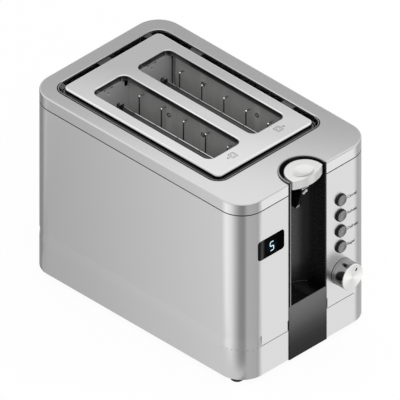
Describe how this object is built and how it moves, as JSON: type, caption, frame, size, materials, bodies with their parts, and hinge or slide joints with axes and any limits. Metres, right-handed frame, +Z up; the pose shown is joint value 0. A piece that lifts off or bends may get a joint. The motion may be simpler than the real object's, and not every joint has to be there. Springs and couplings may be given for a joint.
{
  "type": "two-slice toaster",
  "caption": "Long steel toaster with two bread slots, a drop lever in a black front channel, push buttons, a shade knob, a digit window and a pull-out crumb tray.",
  "frame": {"origin": "on the table under the middle of the part: half way between the knob's face and the crumb tray's pull, on the middle plane of the body", "axes": "+Z up, +X to the right seen from the control end, +Y from the control end towards the back, along the slots"},
  "size_m": [0.16, 0.2804, 0.1912],
  "materials": {
    "body_steel": "fine vertical brushing, satin",
    "top_steel": "fine lengthwise brushing, satin",
    "lever_silver": "satin silver",
    "knob_side": "satin, turned",
    "knob_face": "spun face, bright",
    "button_silver": "satin grey",
    "gloss_black": "polished black",
    "badge_dark": "dark grey metallic, semi-gloss",
    "window_black": "polished smoked window",
    "zinc_plate": "plain galvanised sheet",
    "dark_plate": "dark heat-proof coating",
    "carriage_steel": "plain zinc plated",
    "wire_steel": "drawn wire",
    "rod_steel": "ground and polished",
    "spring_steel": "spring wire",
    "soft_iron": "bare iron",
    "mica": "layered mica board, dull",
    "ribbon": "heat-stained resistance ribbon",
    "base_black": "moulded, fine grain",
    "foot_rubber": "dull",
    "board_green": "circuit board",
    "component_black": "moulded cases",
    "digit_light": "lit segments behind the window",
    "magnet_coil": "varnished copper winding",
    "screw_steel": "zinc plated"
  },
  "bodies": {
    "housing": {"top_cover": "top_steel", "slot_plate": "top_steel", "recess_trough": "dark_plate", "body_wrap": "body_steel", "rear_panel": "body_steel", "base_band": "body_steel", "base_pan": "base_black", "rubber_feet": "foot_rubber", "base_screws": "screw_steel", "channel_housing": "gloss_black", "channel_badge": "badge_dark", "window_lens": "window_black", "window_board": "board_green", "digit_module": "digit_light", "button_carrier": "base_black", "control_board": "board_green", "touch_switches": "component_black", "encoder": "zinc_plate", "encoder_nut": "screw_steel", "front_end_plate": "zinc_plate", "rear_end_plate": "zinc_plate", "heater_card_left": "mica", "heater_card_centre": "mica", "heater_card_right": "mica", "heater_winding_left": "ribbon", "heater_winding_centre": "ribbon", "heater_winding_right": "ribbon", "heat_shield_left": "zinc_plate", "heat_shield_right": "zinc_plate", "top_bracket": "zinc_plate", "guide_rods": "rod_steel", "latch_magnet": "magnet_coil", "power_board": "board_green", "power_parts": "component_black", "cord_gland": "base_black", "lift_spring": "spring_steel"},
    "lift_carriage": {"lever_head": "lever_silver", "lever_stem": "gloss_black", "stem_pin": "rod_steel", "lever_arm": "carriage_steel", "carriage": "carriage_steel", "keeper": "soft_iron", "rack_left": "carriage_steel", "rack_right": "carriage_steel"},
    "shade_knob": {"knob": "knob_side", "knob_cap": "knob_face", "encoder_shaft": "rod_steel"},
    "tray": {"crumb_tray": "zinc_plate", "tray_pull": "body_steel"},
    "guard_left_outer_body": {"guard_left_outer": "wire_steel"},
    "guard_left_inner_body": {"guard_left_inner": "wire_steel"},
    "guard_right_inner_body": {"guard_right_inner": "wire_steel"},
    "guard_right_outer_body": {"guard_right_outer": "wire_steel"},
    "button_1_body": {"button_1": "button_silver"},
    "button_2_body": {"button_2": "button_silver"},
    "button_3_body": {"button_3": "button_silver"},
    "button_4_body": {"button_4": "button_silver"}
  },
  "joints": [
    {"name": "lever_slide", "type": "slide", "parent": "housing", "child": "lift_carriage", "axis": [0, 0, -1], "range_m": [0, 0.084], "stiffness_N_per_m": 40, "springref_m": -0.08, "deforming": ["lift_spring"]},
    {"name": "knob_turn", "type": "hinge", "parent": "housing", "child": "shade_knob", "pos_m": [0.0418, -0.12675, 0.0659], "axis": [0, 1, 0], "continuous": true},
    {"name": "tray_slide", "type": "slide", "parent": "housing", "child": "tray", "axis": [0, 1, 0], "range_m": [0, 0.17]},
    {"name": "button_1_press", "type": "slide", "parent": "housing", "child": "button_1_body", "axis": [0, 1, 0], "range_m": [0, 0.0012], "stiffness_N_per_m": 200, "springref_m": -0.0015},
    {"name": "button_2_press", "type": "slide", "parent": "housing", "child": "button_2_body", "axis": [0, 1, 0], "range_m": [0, 0.0012], "stiffness_N_per_m": 200, "springref_m": -0.0015},
    {"name": "button_3_press", "type": "slide", "parent": "housing", "child": "button_3_body", "axis": [0, 1, 0], "range_m": [0, 0.0012], "stiffness_N_per_m": 200, "springref_m": -0.0015},
    {"name": "button_4_press", "type": "slide", "parent": "housing", "child": "button_4_body", "axis": [0, 1, 0], "range_m": [0, 0.0012], "stiffness_N_per_m": 200, "springref_m": -0.0015},
    {"name": "guard_left_outer_tilt", "type": "hinge", "parent": "housing", "child": "guard_left_outer_body", "pos_m": [-0.0432, 0.01875, 0.066], "axis": [0, 1, 0], "range_deg": [0, 2.6]},
    {"name": "guard_left_inner_tilt", "type": "hinge", "parent": "housing", "child": "guard_left_inner_body", "pos_m": [-0.0062, 0.01875, 0.066], "axis": [0, -1, 0], "range_deg": [0, 2.6]},
    {"name": "guard_right_inner_tilt", "type": "hinge", "parent": "housing", "child": "guard_right_inner_body", "pos_m": [0.0062, 0.01875, 0.066], "axis": [0, 1, 0], "range_deg": [0, 2.6]},
    {"name": "guard_right_outer_tilt", "type": "hinge", "parent": "housing", "child": "guard_right_outer_body", "pos_m": [0.0432, 0.01875, 0.066], "axis": [0, -1, 0], "range_deg": [0, 2.6]}
  ],
  "couplings": [
    {"joint": "guard_left_outer_tilt", "follows": "lever_slide", "rad_per_m": 0.54},
    {"joint": "guard_left_inner_tilt", "follows": "lever_slide", "rad_per_m": 0.54},
    {"joint": "guard_right_inner_tilt", "follows": "lever_slide", "rad_per_m": 0.54},
    {"joint": "guard_right_outer_tilt", "follows": "lever_slide", "rad_per_m": 0.54}
  ]
}
